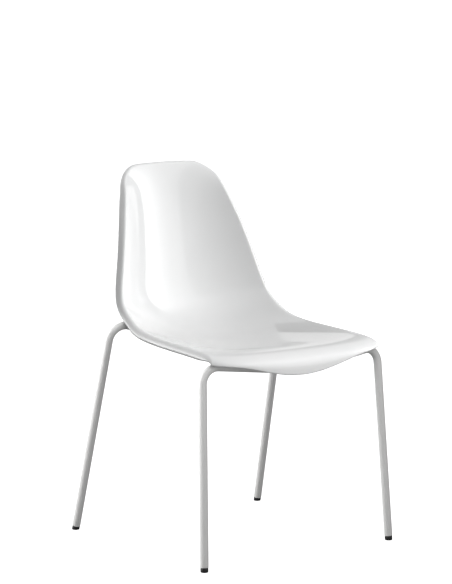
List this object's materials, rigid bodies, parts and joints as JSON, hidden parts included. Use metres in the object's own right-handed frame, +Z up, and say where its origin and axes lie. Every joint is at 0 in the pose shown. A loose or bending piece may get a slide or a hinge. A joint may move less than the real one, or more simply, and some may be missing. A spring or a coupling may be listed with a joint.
{
  "type": "stacking chair",
  "caption": "Stacking side chair: one-piece glossy moulded seat and back shell screwed to two bent tube leg frames joined by flat rails, with foot glides and stacking bumpers.",
  "frame": {"origin": "on the floor, midway between the four feet and under the centre of the overall box", "axes": "+Z up, the chair faces -Y, +X is the sitter's left"},
  "size_m": [0.523, 0.5343, 0.8121],
  "materials": {
    "shell_polymer": "glossy moulded polymer, white",
    "powder_coated_steel": "satin white powder coat on steel",
    "pad_rubber": "matt grey rubber",
    "insert_brass": "plain brass",
    "zinc_steel": "bright zinc plating",
    "glide_nylon": "black moulded nylon",
    "bumper_nylon": "milky white moulded nylon"
  },
  "bodies": {
    "root": {"seat_shell": "shell_polymer", "front_leg_frame": "powder_coated_steel", "rear_leg_frame": "powder_coated_steel", "seat_rail_left": "powder_coated_steel", "seat_rail_right": "powder_coated_steel", "spacer_pad_front_left": "pad_rubber", "spacer_pad_front_right": "pad_rubber", "spacer_pad_rear_left": "pad_rubber", "spacer_pad_rear_right": "pad_rubber", "threaded_insert_front_left": "insert_brass", "threaded_insert_front_right": "insert_brass", "threaded_insert_rear_left": "insert_brass", "threaded_insert_rear_right": "insert_brass", "washer_front_left": "zinc_steel", "washer_front_right": "zinc_steel", "washer_rear_left": "zinc_steel", "washer_rear_right": "zinc_steel", "screw_front_left": "zinc_steel", "screw_front_right": "zinc_steel", "screw_rear_left": "zinc_steel", "screw_rear_right": "zinc_steel", "foot_glide_front_left": "glide_nylon", "foot_glide_front_right": "glide_nylon", "foot_glide_rear_left": "glide_nylon", "foot_glide_rear_right": "glide_nylon", "stacking_bumper_front_left": "bumper_nylon", "stacking_bumper_front_right": "bumper_nylon", "stacking_bumper_rear_left": "bumper_nylon", "stacking_bumper_rear_right": "bumper_nylon"}
  },
  "joints": []
}
